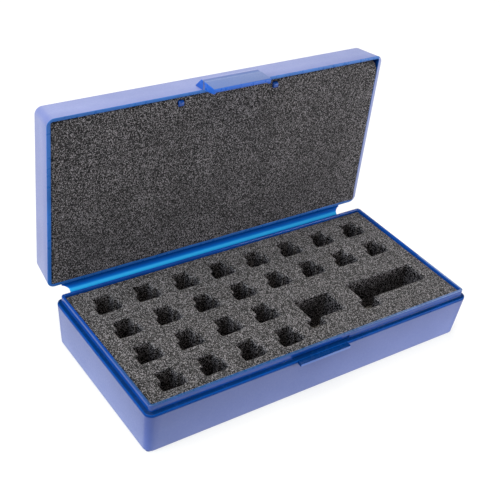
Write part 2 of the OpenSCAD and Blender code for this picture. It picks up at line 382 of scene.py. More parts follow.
# A lighter, bluer copy of the base's plastic for the catch's face: painted light.
LIT_CATCH_FACE = textured_plastic("plastic_catch_painted_light", (0.030, 0.105, 0.400), (0.045, 0.125, 0.440), 0.4, 0.35)
LEDGE_EDGE = polished_plastic("plastic_ledge_edge", (0.0005, 0.046, 0.240), 0.3, 0.05)
# The front of the lip's top: a duller copy of the blue, painted shade, turning paler towards the right
# end, painted light.
LIP_FACE = polished_plastic(
    "plastic_lip_top", (0.012, 0.058, 0.180), 0.25, 0.3,
    lit_right_end=[(0.75, (4.5, 1.8, 1.35)), (1.0, (7.0, 2.4, 1.75))]
)
POLISHED = polished_plastic("plastic_polished", PIGMENT)
# The ledge's band: the darker copy of the blue, painted shade.
SHADED_BAND = polished_plastic("plastic_band_painted_shade", SHADED_PIGMENT, 0.2, 0.1)
# Thin edges: a lighter copy of the blue that glows, painted highlight.
LIT_EDGE = polished_plastic("plastic_edge_painted_highlight", LIT_PIGMENT, 0.3, 0.3, 0.2)
# The lid's rim: a lighter copy of the blue that glows faintly, painted light.
LIT_RIM_FACE = polished_plastic("plastic_rim_painted_light", LIT_RIM_PIGMENT, 0.3, 0.3, 0.05)
STRIP = strip_plastic()
TRAY_FOAM = foam("foam_tray", (0.002, 0.002, 0.002), (0.025, 0.0235, 0.0265), (0.228, 0.214, 0.238))
# Pocket walls: the tray's foam with painted shade towards their foot.
SHADED_WALL_FOAM = foam(
    "foam_pocket_wall_painted_shade", (0.002, 0.002, 0.002), (0.027, 0.0255, 0.0285), (0.240, 0.225, 0.250),
    depth=(FOAM_TOP - 8, FOAM_TOP - 0.5)
)
# The sheet under the pockets: a lighter copy of the tray's foam, painted light on the pocket floors.
LIT_SHEET_FOAM = foam("foam_sheet_painted_light", (0.004, 0.004, 0.004), (0.042, 0.039, 0.041), (0.310, 0.290, 0.300))
# A pocket wall that faces the front is a lighter copy of the foam, painted light, with painted shade
# towards its foot.
LIT_WALL_FOAM = foam(
    "foam_wall_painted_light", (0.006, 0.005, 0.006), (0.060, 0.055, 0.058), (0.420, 0.395, 0.410),
    depth=(FOAM_TOP - 12, FOAM_TOP + 8)
)
PAD_FOAM = foam("foam_pad", (0.001, 0.001, 0.001), (0.0235, 0.0218, 0.0242), (0.250, 0.232, 0.250))


# ---------------------------------------------------------------- mesh helpers


def make_object(name, points, faces, materials, zones=None, transform=STILL, crease=35):
    """A smooth-shaded object from points in millimetres. Edges over the crease angle stay sharp."""
    mesh = bpy.data.meshes.new(name)
    mesh.from_pydata([(transform @ Vector(p)) * MM for p in points], [], faces)
    for mat in materials:
        mesh.materials.append(mat)
    if zones:
        for face, zone in zip(mesh.polygons, zones):
            face.material_index = zone
    mesh.validate()
    obj = bpy.data.objects.new(name, mesh)
    bpy.context.collection.objects.link(obj)
    finish_mesh(obj, crease)
    return obj


def finish_mesh(obj, crease):
    """Makes the normals point out, shades smooth and keeps sharp edges."""
    edit = bmesh.new()
    edit.from_mesh(obj.data)
    bmesh.ops.recalc_face_normals(edit, faces=edit.faces)
    edit.to_mesh(obj.data)
    edit.free()
    obj.data.shade_smooth()
    obj.data.set_sharp_from_angle(angle=math.radians(crease))


SIDE_CUTS = (-30, -10, 10, 30)


def ring(half_w, half_d, radius, z, cuts):
    """The points of a rounded rectangle, from the front wall's left end round to the left wall."""
    corner_steps = 10
    points = [(x, -half_d, z) for x in cuts]
    straight_w = half_w - radius
    straight_d = half_d - radius
    for corner, (sx, sy) in enumerate(((1, -1), (1, 1), (-1, 1), (-1, -1))):
        start = math.radians(-90 + 90 * corner)
        for step in range(corner_steps + 1):
            angle = start + math.radians(90) * step / corner_steps
            points.append((
                sx * straight_w + radius * math.cos(angle),
                sy * straight_d + radius * math.sin(angle),
                z,
            ))
        if corner == 0:
            points += [(half_w, y, z) for y in SIDE_CUTS]
        if corner == 1:
            points += [(-x, half_d, z) for x in cuts]
        if corner == 2:
            points += [(-half_w, -y, z) for y in SIDE_CUTS]
    return points


def loft(name, rings, zones, materials, transform=STILL):
    """A closed skin through rings of equal length, with a flat cap on its first and last."""
    count = len(rings[0])
    points = [p for r in rings for p in r]
    faces = [tuple(range(count))]
    face_zones = [zones[0]]
    for level in range(len(rings) - 1):
        for i in range(count):
            j = (i + 1) % count
            a, b = level * count, (level + 1) * count
            faces.append((a + i, a + j, b + j, b + i))
            face_zones.append(zones[level])
    last = (len(rings) - 1) * count
    faces.append(tuple(last + i for i in reversed(range(count))))
    face_zones.append(zones[-1])
    return make_object(name, points, faces, materials, face_zones, transform)


def arc(centre_out, centre_z, radius, start, end, steps=5):
    """Points of an arc in a wall's section, as (outwards, height), with angles from outwards."""
    angles = [math.radians(start + (end - start) * i / steps) for i in range(steps + 1)]
    return [(centre_out + radius * math.cos(a), centre_z + radius * math.sin(a)) for a in angles]


def smooth_step(value, low, high):
    """0 below low, 1 above high and a smooth rise between."""
    t = min(max((value - low) / (high - low), 0), 1)
    return t * t * (3 - 2 * t)


def bar(name, near, far, materials, transform):
    """A solid between two outlines of equal length."""
    count = len(near)
    faces = [tuple(range(count)), tuple(reversed(range(count, 2 * count)))]
    faces += [(i, count + i, count + (i + 1) % count, (i + 1) % count) for i in range(count)]
    return make_object(name, near + far, faces, materials, None, transform)


def prism(name, outline, left, right, materials, transform, bevel):
    """A bar along X with an outline in Y and Z, and its edges rounded unless bevel is 0."""
    near = [(left, y, z) for y, z in outline]
    far = [(right, y, z) for y, z in outline]
    obj = bar(name, near, far, materials, transform)
    if bevel:
        round_edges(obj, bevel)
    return obj


def round_edges(obj, width):
    """Rounds every edge of a bar that isn't one of the short steps of a curve."""
    least = math.radians(25)
    edit = bmesh.new()
    edit.from_mesh(obj.data)
    edges = [e for e in edit.edges if len(e.link_faces) == 2 and e.calc_face_angle(0) > least]
    bmesh.ops.bevel(
        edit, geom=edges, offset=width * MM, segments=3, profile=0.5, affect="EDGES", clamp_overlap=True
    )
    edit.to_mesh(obj.data)
    edit.free()
    finish_mesh(obj, 40)


def join(name, parts):
    """Joins pieces that are one moulding into one object."""
    bpy.ops.object.select_all(action="DESELECT")
    for part in parts:
        part.select_set(True)
    bpy.context.view_layer.objects.active = parts[0]
    bpy.ops.object.join()
    parts[0].name = name
    parts[0].data.name = name
    return parts[0]


# ---------------------------------------------------------------- base shell

WALL_CUTS = list(range(-96, 97, 16))


def with_cuts(*places):
    """The wall's own columns with some added, in order."""
    return sorted(WALL_CUTS + list(places))


RECESS_HALF = 19.2
RECESS_STEP = 0.3
RECESS_DEPTH = 0.7
RECESS_TOP = LIP_TOP - 1.9


def catch_recess(x, y, z):
    """A place on the base, moved in where the lip's front face has a shallow recess behind the catch."""
    face = LIP_IN - HALF_D
    on_face = face - 0.25 < y < face + 0.35
    across = smooth_step(RECESS_HALF + RECESS_STEP - abs(x - LATCH_X), 0, RECESS_STEP)
    upright = smooth_step(RECESS_TOP - z, 0, 0.3) * smooth_step(z, LEDGE + 0.05, LEDGE + 0.4)
    return (x, y + RECESS_DEPTH * across * upright * on_face, z)


def base_shell():
    """The base: drafted walls, a ledge with its edge rounded, and the raised lip."""
    edge = RECESS_HALF + RECESS_STEP
    cuts = with_cuts(LATCH_X - edge, LATCH_X - RECESS_HALF, LATCH_X + RECESS_HALF, LATCH_X + edge)
    band = 1.5
    foot_r = 0.8
    edge_r = 0.9
    fillet = 0.4
    lip_r = 0.45
    # The zone called polish takes painted shade, and gloss the plastic's own polished blue.
    texture, polish, gloss, lip_top, ledge_edge = range(5)

    section = [(-DRAFT - 9, 0.5, texture), (-DRAFT - 8, 0, texture)]
    section += [(o, z, texture) for o, z in arc(-DRAFT - foot_r, foot_r, foot_r, -90, 0)]
    wall_top = LEDGE - band
    lean = DRAFT / LEDGE
    section += [(-lean * (LEDGE - z), z, texture) for z in (8, 14, 20)]
    section += [
        (-lean * band - 0.02, wall_top - 0.12, texture),
        (-lean * band - 0.16, wall_top, ledge_edge),
    ]
    edge_at = (-edge_r - 0.1, LEDGE - edge_r)
    section += [(o, z, ledge_edge) for o, z in arc(*edge_at, edge_r, 0, 60, 4)]
    section += [(o, z, polish) for o, z in arc(*edge_at, edge_r, 75, 90, 1)]
    root = -LIP_IN
    section += [(o, z, polish) for o, z in arc(root + fillet, LEDGE + fillet, fillet, 270, 180, 3)]
    section += [(root, RECESS_TOP - 0.3, gloss), (root, RECESS_TOP, gloss)]
    section += [(o, z, gloss) for o, z in arc(root - lip_r, LIP_TOP - lip_r, lip_r, 0, 90, 4)]
    back = root - LIP_T
    section += [(o, z, gloss) for o, z in arc(back + lip_r, LIP_TOP - lip_r, lip_r, 90, 180, 4)]
    section += [(back, LEDGE, gloss), (back - 1, FLOOR_T + 1, texture), (back - 2, FLOOR_T, texture)]

    rings = []
    for out, z, _ in section:
        radius = CORNER if z < LEDGE - 0.5 and out > -DRAFT - foot_r else max(CORNER + out, 0.9)
        rings.append([catch_recess(*p) for p in ring(HALF_W + out, HALF_D + out, radius, z, cuts)])
    zones = [zone for _, _, zone in section][1:]
    shell = loft("base_case", rings, zones, [SHADED_BASE_TEXTURE, SHADED_BAND, POLISHED, LIP_FACE, LEDGE_EDGE])
    # The lip's top along the front takes painted shade, with painted light towards its right end.
    for face in shell.data.polygons:
        centre = face.center / MM
        if centre.z > LIP_TOP - 0.25 and centre.y < 0 and abs(face.normal.x) < 0.3:
            face.material_index = lip_top
    return join("base_case", [shell, catch(), hinge_rail("base_rail", STILL, 1)])


def catch():
    """The catch that the latch snaps under: a sloping top, a blunt nose and a flat underside."""
    tip = -HALF_D - 2.65
    top = LEDGE - 0.25
    catch_h = 2.1
    texture, polish, lit = range(3)
    outline = [
        (-HALF_D + 1.2, top),
        (-HALF_D - 1.1, top),
        (tip + 0.3, top - 0.15),
        (tip, top - 0.45),
        (tip, top - catch_h),
        (-HALF_D + 1.2, top - catch_h),
    ]
    lug = prism(
        "catch", outline, LATCH_X - CATCH_HALF, LATCH_X + CATCH_HALF, [LIT_CATCH_FACE, SHADED_BAND, LIT_EDGE], STILL, 0.2
    )
    # Painted shade on the top and left end, a painted highlight on the right end, and painted light on the
    # face.
    for face in lug.data.polygons:
        if face.normal.z > 0.35 or face.normal.x < -0.6:
            face.material_index = polish
        elif face.normal.x > 0.6:
            face.material_index = lit
        else:
            face.material_index = texture
    return lug


def hinge_rail(name, transform, up):
    """The thickened rail that a film hinge leaves, along the back wall of the base or the lid."""
    line_z = BASE_LINE.z if up > 0 else CLOSED_LID_LINE.z
    outline = [
        (HALF_D - 1.4, line_z + up * 0.62),
        (BASE_LINE.y - 0.55, line_z + up * 0.62),
        (BASE_LINE.y - 0.25, line_z + up * 0.25),
        (BASE_LINE.y - 0.25, line_z - up * 0.45),
        (BASE_LINE.y - 0.95, line_z - up * 1.65),
        (HALF_D - 1.4, line_z - up * 3.4),
    ]
    return prism(name, outline, -RAIL_HALF, RAIL_HALF, [POLISHED], transform, 0.3)


# ---------------------------------------------------------------- hinge strip


def strip():
    """The strip between the films: a plate that is wider along each film than in its waist."""
    waist = 3.7
    plate_h = STRIP_W - 2 * NECK
    side = []
    steps = 10
    for i in range(steps + 1):
        t = i / steps
        bow = 1 - abs(2 * t - 1) ** 2.6
        side.append((RAIL_HALF - waist * bow, BASE_LINE.z + NECK + plate_h * t))
    loop = side + [(-x, z) for x, z in reversed(side)]
    near = [(x, BASE_LINE.y - STRIP_T / 2, z) for x, z in loop]
    far = [(x, BASE_LINE.y + STRIP_T / 2, z) for x, z in loop]
    obj = bar("strip_plate", near, far, [STRIP], OPEN_STRIP)
    round_edges(obj, 0.45)
    return obj


def film(name, start, end):
    """A film hinge: a thin web with a hollow along its bend, between two places in a section."""
    steps = 8
    thin, flare = 0.275, 0.25
    near, far = Vector((0, *start)), Vector((0, *end))
    direction = (far - near).normalized()
    side = Vector((0, -direction.z, direction.y))
    upper, lower = [], []
    for i in range(steps + 1):
        t = i / steps
        half = thin + flare * abs(2 * t - 1) ** 2
        point = near.lerp(far, t)
        upper.append(point + side * half)
        lower.append(point - side * half)
    outline = [(p.y, p.z) for p in upper] + [(p.y, p.z) for p in reversed(lower)]
    obj = prism(name, outline, -RAIL_HALF, RAIL_HALF, [STRIP], OPEN_STRIP, 0)
    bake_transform(obj)
    return obj


# ---------------------------------------------------------------- lid shell


def lid_shell():
    """The lid: a panel with rounded edges, drafted walls, the rim and the inside."""
    panel_r = 2.5
    edge_r = 0.35
    inner_r = 0.3
    corner = 4.3
    inner_corner = 1.1
    texture, polish, lit_rim_zone, lit_rim_end_zone = range(4)
    rings, zones = [], []

    def add(out_w, out_d, radius, z, zone):
        rings.append(ring(LID_HALF_W + out_w, LID_HALF_D + out_d, radius, z, WALL_CUTS))
        zones.append(zone)

    panel_in = -LID_DRAFT - panel_r - 6
    add(panel_in, panel_in, 1.5, LID_TOP, texture)
    for out, z in reversed(arc(-LID_DRAFT - panel_r, LID_TOP - panel_r, panel_r, 0, 90, 7)):
        add(out, out, corner + 0.45 * (out + LID_DRAFT), z, texture)
    for z in (LID_TOP - 7, LID_TOP - 12):
        out = -LID_DRAFT * (z - RIM) / (LID_TOP - panel_r - RIM)
        add(out, out, corner, z, texture)
    # The rim's faces take painted light.
    for out, z in arc(-edge_r, RIM + edge_r, edge_r, 0, -90, 3):
        add(out, out, corner + 0.5 * out, z, lit_rim_zone if z < RIM + 0.3 else texture)
    for out, z in arc(-LID_WALL + inner_r, RIM + inner_r, inner_r, -90, -180, 3):
        add(out + LID_WALL - LID_END_WALL, out, inner_corner, z, lit_rim_zone)
    for z, taper in ((RIM + 5.5, 0), (LID_TOP - PANEL_T - 1, 1.1), (LID_TOP - PANEL_T, 2.2)):
        add(-LID_END_WALL - taper, -LID_WALL - taper, inner_corner, z, polish)

    shell = loft("lid_case", rings, zones[1:], [TEXTURED, POLISHED, LIT_RIM_FACE, LIT_RIM_END], OPEN_LID)
    rim_y = (OPEN_LID @ Vector((0, 0, RIM))).y
    # Painted highlight on the rim's right end.
    for face in shell.data.polygons:
        centre = face.center / MM
        if centre.x > LID_HALF_W - LID_END_WALL + 0.1 and centre.y < rim_y + 0.5:
            face.material_index = lit_rim_end_zone
    parts = [shell, hinge_rail("lid_rail", OPEN_LID, -1), latch_root()]
    parts += [finger(side) for side in (-1, 1)]
    return join("lid_case", parts)


def finger(side):
    """A guide finger inside the lid's front wall, with its end tapered to find the lip."""
    middle = LATCH_X + side * FINGER_OFF
    half = 1.6
    front = -(HALF_D - LIP_IN - LIP_T - 0.3)
    back = front + 3.7
    end = RIM - 0.4
    joint = LIP_TOP + 0.8
    wall = -LID_HALF_D + LID_WALL - 0.1
    top = LID_TOP - PANEL_T + 0.5
    outline = [
        (front + 0.7, end),
        (back - 0.9, end),
        (back, end + 1.4),
        (back, top),
        (wall + 1.2, top),
        (wall, joint + 3),
        (wall, joint),
        (front, joint),
        (front, end + 1),
    ]
    return prism("finger", outline, middle - half, middle + half, [POLISHED], OPEN_LID, 0.3)


def latch_at(below, out):
    """A place in the latch's section, below the lid's rim and out from its front wall, when closed."""
    return (-LID_HALF_D - out, RIM - below)


def latch_root():
    """The wedge on the lid's front wall that carries the latch's film hinge."""
    outline = [
        latch_at(-7.8, -0.6),
        latch_at(-2.6, 5.1),
        latch_at(-1.9, 5.4),
        latch_at(-1.1, 5.3),
        latch_at(-0.75, 4.7),
        latch_at(-0.45, 3.9),
        latch_at(-0.2, 3.2),
        latch_at(-0.2, -0.6),
    ]
    half = LATCH_HALF - 0.2
    root = prism("latch_root", outline, LATCH_X - half, LATCH_X + half, [TEXTURED, LIT_EDGE], OPEN_LID, 0.3)
    return mark_ends(root, 1.0)


def mark_ends(piece, front):
    """Paints a latch piece's ends, and also faces turned to the front, with a painted highlight as on a
    thin lit edge.

    Front is how squarely such a face has to point there, and 1 leaves them all out."""
    for face in piece.data.polygons:
        if abs(face.normal.x) > 0.4 or face.normal.y < -front:
            face.material_index = 1
    return piece


# ---------------------------------------------------------------- latch flap


def latch_flap():
    """The flap: a plate with a rolled tip, a hook ridge inside and a rib at each end."""
    plate = [
        latch_at(0.95, 4.75),
        latch_at(1.6, 5.4),
        latch_at(10.7, 5.4),
        latch_at(11.2, 5.0),
        latch_at(11.2, 3.4),
        latch_at(10.8, 3.1),
        latch_at(9.7, 3.2),
        latch_at(9.0, 3.7),
        latch_at(4.4, 3.7),
        latch_at(4.2, 3.0),
        latch_at(3.3, 3.0),
        latch_at(3.0, 3.25),
        latch_at(3.0, 3.7),
        latch_at(1.3, 3.75),
    ]
    rib = [
        latch_at(1.4, 4.3),
        latch_at(1.7, 5.3),
        latch_at(10.6, 5.3),
        latch_at(11.1, 4.9),
        latch_at(11.1, 2.5),
        latch_at(10.1, 2.1),
        latch_at(2.4, 0.7),
        latch_at(1.95, 0.95),
    ]
    rib_t = 1.3
    inset = 0.03
    left, right = LATCH_X - LATCH_HALF, LATCH_X + LATCH_HALF
    parts = []
    for name, outline, start, end in (
        ("flap_plate", plate, left, right),
        ("flap_rib_left", rib, left + inset, left + rib_t),
        ("flap_rib_right", rib, right - rib_t, right - inset),
    ):
        part = prism(name, outline, start, end, [FLAP_TEXTURE, LIT_EDGE], OPEN_LID, 0.22)
        parts.append(mark_ends(part, 0.6))
    return join("latch", parts)


def latch_film():
    """The latch's own film hinge, a web that fills the gap between the latch's root and its flap."""
    start, end = latch_at(-1.0, 4.75), latch_at(1.7, 4.8)
    steps = 8
    thin, flare = 0.38, 0.12
    front, back = [], []
    for i in range(steps + 1):
        t = i / steps
        y = start[0] + (end[0] - start[0]) * t
        z = start[1] + (end[1] - start[1]) * t
        half = thin + flare * abs(2 * t - 1) ** 2
        front.append((y - half, z))
        back.append((y + half, z))
    outline = front + back[::-1]
    half_w = LATCH_HALF - 0.4
    obj = prism("latch_film", outline, LATCH_X - half_w, LATCH_X + half_w, [FLAP_TEXTURE], OPEN_LID, 0)
    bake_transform(obj)
    return obj


# ---------------------------------------------------------------- tray foam

ROWS = (8, 8, 4, 4)
FIRST_X = -94.2
FRONT_ROW_Y = -41.7
PITCH_X = 24.79
PITCH_Y = 22.62


def small_pocket(x, y):
    """A small pocket's outline, anticlockwise: a wide foot for a figure's base with a body behind."""
    foot_w, foot_d = 14.7, 6.8
    body_x, body_w, body_d = 2.5, 10.1, 13.8
    lobe = 0.75
    return [
        (x, y),
        (x + body_x + body_w - 0.6, y),
        (x + body_x + body_w, y + lobe),
        (x + foot_w, y + lobe),
        (x + foot_w, y + foot_d + lobe),
        (x + body_x + body_w, y + foot_d + lobe),
        (x + body_x + body_w, y + body_d),
        (x + body_x, y + body_d),
        (x + body_x, y + foot_d),
        (x, y + foot_d),
    ]


def stepped_pocket(left, front, right, back, leg_left, leg_right, leg_front):
    """A wide pocket with a leg at its front-left corner."""
    return [
        (leg_left, leg_front),
        (leg_right, leg_front),
        (leg_right, front),
        (right, front),
        (right, back),
        (left, back),
        (left, front),
        (leg_left, front),
    ]


def pockets():
    """The outline of every pocket."""
    back_row = FRONT_ROW_Y + 3 * PITCH_Y
    found = [
        small_pocket(FIRST_X + i * PITCH_X, back_row - row * PITCH_Y)
        for row, count in enumerate(ROWS)
        for i in range(count)
    ]
    found.append(stepped_pocket(
        left=7.8, front=-29.7, right=31.4, back=-12.8, leg_left=3.5, leg_right=13.9, leg_front=-35.9
    ))
    found.append(stepped_pocket(
        left=45.7, front=-28.6, right=94.7, back=-12.6, leg_left=42.1, leg_right=54.0, leg_front=-36.2
    ))
    return found


def rounded(outline, radius, step=1.1):
    """An outline with its corners rounded and its sides cut into short lengths."""
    points = []
    count = len(outline)
    for i in range(count):
        before, at, after = (Vector(outline[(i + k) % count]) for k in (-1, 0, 1))
        back, ahead = before - at, after - at
        r = min(radius, back.length * 0.4, ahead.length * 0.4)
        first, last = at + back.normalized() * r, at + ahead.normalized() * r
        for k in range(4):
            t = k / 3
            points.append(first.lerp(at, t).lerp(at.lerp(last, t), t))
        end = at + ahead - ahead.normalized() * min(radius, ahead.length * 0.4)
        pieces = max(int((end - last).length / step), 1)
        points += [last.lerp(end, k / pieces) for k in range(1, pieces)]
    return points


def grown(loop, amount):
    """A loop moved outwards by an amount, for an anticlockwise loop."""
    count = len(loop)
    out = []
    for i in range(count):
        side = loop[(i + 1) % count] - loop[i - 1]
        out.append(loop[i] + Vector((side.y, -side.x)).normalized() * amount)
    return out


def ragged(loop, z, amount, seed):
    """A loop at a height, made uneven as a knife leaves it in foam."""
    out = []
    for p in loop:
        broad = noise.noise_vector(Vector((p.x * 0.45, p.y * 0.45, z * 0.13 + seed)))
        fine = noise.noise_vector(Vector((p.x * 1.3, p.y * 1.3, z * 0.5 + seed)))
        x = p.x + amount * broad.x + 0.35 * amount * fine.x
        y = p.y + amount * broad.y + 0.35 * amount * fine.y
        out.append((x, y, z))
    return out


PRESS_HALF = 2.4
PRESS_IN = 4.6
PRESS_DEPTH = 6.0
PRESS_STEP = 0.3


def finger_places():
    """The middles of the two guide fingers along X."""
    return [LATCH_X + side * FINGER_OFF for side in (-1, 1)]


def pressed(x, y, z):
    """A place on the tray, pushed down where the foam makes room for a guide finger and its plug."""
    for middle in finger_places():
        across = smooth_step(PRESS_HALF + PRESS_STEP - abs(x - middle), 0, PRESS_STEP)
        inward = smooth_step(-y - (TRAY_HI.y - PRESS_IN), 0, PRESS_STEP)
        if across * inward > 0:
            z = min(z, FOAM_TOP - PRESS_DEPTH * across * inward)
    return (x, y, z)


def foam_plug(middle):
    """The bit of the tray's foam that a guide finger presses down as the lid closes."""
    front = -TRAY_HI.y
    back = front + PRESS_IN + 0.1
    bottom = FOAM_TOP - PRESS_DEPTH + 0.05
    outline = [
        (back, bottom),
        (back, FOAM_TOP - 0.1),
        (front + 1.1, FOAM_TOP - 0.1),
        (front + 0.55, FOAM_TOP - 0.2),
        (front + 0.17, FOAM_TOP - 0.5),
        (front, FOAM_TOP - 1.1),
        (front + 0.1, bottom),
    ]
    half = PRESS_HALF + 0.2
    name = "foam_plug_left" if middle < LATCH_X else "foam_plug_right"
    return prism(name, outline, middle - half, middle + half, [TRAY_FOAM], STILL, 0)


def press_points():
    """Extra places along each side of the room for a plug, so that its sides stay steep."""
    found = []
    pitch = 0.8
    lower, upper = 0.05, PRESS_STEP + 0.05
    back = -TRAY_HI.y + PRESS_IN
    for middle in finger_places():
        for side in (-1, 1):
            for across in (PRESS_HALF - lower, PRESS_HALF + upper):
                found += [Vector((middle + side * across, back - pitch * k)) for k in range(-1, 5)]
        for inward in (-lower, upper):
            found += [Vector((middle + pitch * k, back - inward - 0.05)) for k in range(-2, 3)]
            found += [Vector((middle + pitch * k, back + inward + 0.1)) for k in range(-3, 4)]
    return found


EDGE_ROLL = 0.9


def pocket_levels():
    """The levels of a pocket's wall, as (outwards, height, unevenness), from its rolled edge down."""
    steps = 6
    wall_top = FOAM_TOP - EDGE_ROLL
    levels = [
        (EDGE_ROLL, FOAM_TOP, 0.20),
        (EDGE_ROLL * 0.45, FOAM_TOP - EDGE_ROLL * 0.12, 0.22),
        (EDGE_ROLL * 0.12, FOAM_TOP - EDGE_ROLL * 0.42, 0.26),
        (0.0, wall_top, 0.30),
    ]
    for k in range(1, steps + 1):
        levels.append((-0.15 - 0.25 * k / steps, wall_top - (wall_top - FOAM_FLOOR) * k / steps, 0.45))
    return levels


def outer_levels():
    """The levels of the tray's outer wall, as (outwards, height, unevenness)."""
    roll = 1.1
    return [
        (-roll, FOAM_TOP, 0.1),
        (-roll * 0.5, FOAM_TOP - roll * 0.14, 0.1),
        (-roll * 0.15, FOAM_TOP - roll * 0.45, 0.1),
        (0.0, FOAM_TOP - roll, 0.1),
        (-0.1, LEDGE, 0.1),
        (-1.0, FOAM_FLOOR, 0.1),
    ]


def top_places(holes):
    """Places spread over the tray's top, clear of the pockets' holes, so that it can swell gently."""
    spacing = 3.0
    half_x, half_y = TRAY_HI.x - 2.5, TRAY_HI.y - 2.5
    found = []
    for ix in range(int(2 * half_x / spacing)):
        for iy in range(int(2 * half_y / spacing)):
            x = -half_x + (ix + 0.5) * spacing
            y = -half_y + (iy + 0.5 * (ix % 2)) * spacing
            if not any(near_loop(Vector((x, y)), hole) for hole in holes):
                found.append(Vector((x, y)))
    return found + press_points()


def tray_foam():
    """The cut foam: one triangulated top with a hole for each pocket, and uneven walls to the sheet."""
    half_x, half_y = TRAY_HI.x, TRAY_HI.y
    corners = [(-half_x, -half_y), (half_x, -half_y), (half_x, half_y), (-half_x, half_y)]
    wall, cut = 1, 2
    points, faces, rims = [], [], []

    def add_wall(loop, levels, seed):
        """Adds the rings of one wall with the skin between them, and keeps its top ring."""
        count = len(loop)
        first = len(points)
        for out, z, amount in levels:
            points.extend(ragged(grown(loop, out), z, amount, seed))
        for level in range(len(levels) - 1):
            upper = first + level * count
            lower = upper + count
            for i in range(count):
                j = (i + 1) % count
                faces.append((upper + i, upper + j, lower + j, lower + i))
        rims.append(list(range(first, first + count)))

    for number, pocket in enumerate(pockets()):
        add_wall(rounded(pocket, 0.9), pocket_levels(), number * 3.7)
    add_wall(rounded(corners, 1.2, 0.8), outer_levels(), 99.0)

    flat = [Vector(points[i][:2]) for rim in rims for i in rim]
    known = [i for rim in rims for i in rim]
    edges = []
    start = 0
    for rim in rims:
        count = len(rim)
        edges += [(start + k, start + (k + 1) % count) for k in range(count)]
        start += count
    *holes, outer = [[Vector(points[i][:2]) for i in rim] for rim in rims]
    points = [pressed(*p) for p in points]

    places = flat + top_places(holes)
    verts, _, tris, origin, _, _ = geometry.delaunay_2d_cdt(places, edges, [], 1, 1e-6)
    index = []
    for v, sources in zip(verts, origin):
        on_rim = next((known[source] for source in sources if source < len(known)), None)
        if on_rim is None:
            swell = 0.22 * noise.noise(Vector((v.x * 0.06, v.y * 0.06, 3.0)))
            points.append(pressed(v.x, v.y, FOAM_TOP + swell - 0.12))
            on_rim = len(points) - 1
        index.append(on_rim)
    for tri in tris:
        middle = sum((verts[i] for i in tri), Vector((0, 0))) / len(tri)
        if inside(middle, outer) and not any(inside(middle, hole) for hole in holes):
            faces.append(tuple(index[i] for i in tri))

    tray = make_object("foam_tray", points, faces, [TRAY_FOAM, SHADED_WALL_FOAM, LIT_WALL_FOAM], None, STILL, 60)
    # Pocket walls below the rolled edge get painted shade towards their foot, and those facing the front a
    # lighter copy of the foam, painted light.
    for face in tray.data.polygons:
        if face.center.z < (FOAM_TOP - EDGE_ROLL) * MM:
            face.material_index = cut if face.normal.y < -0.6 else wall
    return tray


def near_loop(p, loop):
    """Whether a point is in the box round a loop or close to it."""
    near = 1.2
    low_x, high_x = min(q.x for q in loop), max(q.x for q in loop)
    low_y, high_y = min(q.y for q in loop), max(q.y for q in loop)
    return low_x - near < p.x < high_x + near and low_y - near < p.y < high_y + near


def inside(p, loop):
    """Whether a point is in a loop."""
    odd = False
    count = len(loop)
    for i in range(count):
        a, b = loop[i], loop[(i + 1) % count]
        if (a.y > p.y) != (b.y > p.y) and p.x < (b.x - a.x) * (p.y - a.y) / (b.y - a.y) + a.x:
            odd = not odd
    return odd


def grid_rim(cells_x, cells_y):
    """The places of a grid's outer points in its list of points, in order round it."""
    row = cells_x + 1
    rim = list(range(cells_x))
    rim += [iy * row + cells_x for iy in range(cells_y)]
    rim += [cells_y * row + ix for ix in range(cells_x, 0, -1)]
    rim += [iy * row for iy in range(cells_y, 0, -1)]
    return rim


def foam_sheet():
    """The uncut foam sheet under the pockets, with a gently uneven top."""
    low, high = box_mm("foam_floor")
    cells_x, cells_y = 60, 28
    points, faces = [], []
    for level in (0, 1):
        for iy in range(cells_y + 1):
            for ix in range(cells_x + 1):
                x = low.x + (high.x - low.x) * ix / cells_x
                y = low.y + (high.y - low.y) * iy / cells_y
                swell = 0.12 * noise.noise(Vector((x * 0.15, y * 0.15, 1.0)))
                points.append((x, y, (high.z - 0.1 + swell) if level else low.z))
    row = cells_x + 1
    layer = row * (cells_y + 1)
    for iy in range(cells_y):
        for ix in range(cells_x):
            a = iy * row + ix
            faces.append((a + layer, a + 1 + layer, a + row + 1 + layer, a + row + layer))
            faces.append((a, a + row, a + row + 1, a + 1))
    rim = grid_rim(cells_x, cells_y)
    for a, b in zip(rim, rim[1:] + rim[:1]):
        faces.append((a, b, b + layer, a + layer))
    return make_object("foam_sheet", points, faces, [LIT_SHEET_FOAM], None, STILL, 60)


# ---------------------------------------------------------------- lid foam


def pad_face(x, y, half_x, half_y):
    """A place on the pad's soft face, before the lid is opened."""
    shoulder = 1.6
    most_drop = 1.8
    left_drop, right_drop = 0.9, 0.2
    front_drop, hinge_drop = 1.4, 0.2
    edge_x, edge_y = half_x - abs(x), half_y - abs(y)
    roll = (right_drop if x > 0 else left_drop) * max(1 - edge_x / shoulder, 0) ** 2.4
    roll += (hinge_drop if y > 0 else front_drop) * max(1 - edge_y / shoulder, 0) ** 2.4
    proud = 0.6 * smooth_step(y, half_y - 12, half_y - 2)
    proud += 0.35 * smooth_step(x, half_x - 8, half_x - 1)
    wave = 0.3 * noise.noise(Vector((x * 0.035, y * 0.035, 9.0)))
    wave += 0.1 * noise.noise(Vector((x * 0.2, y * 0.2, 4.0)))
    pull = smooth_step(x, half_x - 10, half_x) * smooth_step(-y, half_y - 9, half_y)
    x -= 2.2 * pull * max(1 - edge_x / 6, 0)
    y += 2.0 * pull * max(1 - edge_y / 6, 0)
    dent = 0
    for middle in finger_places():
        off_x, off_y = (x - middle) / 4.5, (y + half_y) / 6.5
        dent += 1.5 * max(1 - off_x * off_x - off_y * off_y, 0)
    return (x, y, RIM + 0.35 + min(roll, most_drop) - proud - wave + 0.8 * pull + dent)


